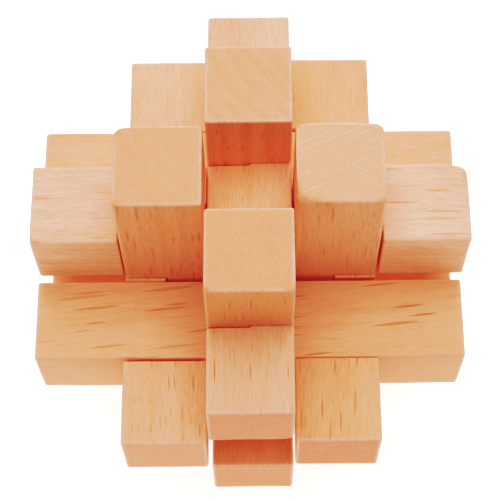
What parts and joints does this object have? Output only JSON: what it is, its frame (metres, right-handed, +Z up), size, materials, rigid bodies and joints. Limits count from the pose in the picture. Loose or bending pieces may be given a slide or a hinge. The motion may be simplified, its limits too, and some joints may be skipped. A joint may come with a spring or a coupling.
{
  "type": "wooden burr puzzle",
  "caption": "Beech burr puzzle of identical notched square sticks interlocked crosswise, lengthwise and upright; half of the sticks lift together as the first move.",
  "frame": {"origin": "middle of the square under the puzzle, at the height of the upright sticks' lower ends", "axes": "+Z up along the upright sticks, +X to the right along the crosswise sticks, +Y to the back along the lengthwise sticks"},
  "size_m": [0.0754, 0.0754, 0.075],
  "materials": {
    "beech": "bare, fine-sanded beech"
  },
  "bodies": {
    "standing_half": {"crosswise_top_stick": "beech", "crosswise_bottom_stick": "beech", "lengthwise_left_stick": "beech", "lengthwise_right_stick": "beech", "upright_left_stick": "beech", "upright_right_stick": "beech"},
    "lifting_half": {"crosswise_front_stick": "beech", "crosswise_back_stick": "beech", "lengthwise_top_stick": "beech", "lengthwise_bottom_stick": "beech", "upright_front_stick": "beech", "upright_back_stick": "beech"}
  },
  "joints": [
    {"name": "first_move_lift", "type": "slide", "parent": "standing_half", "child": "lifting_half", "axis": [0, 0, 1], "range_m": [0, 0.0154]}
  ]
}
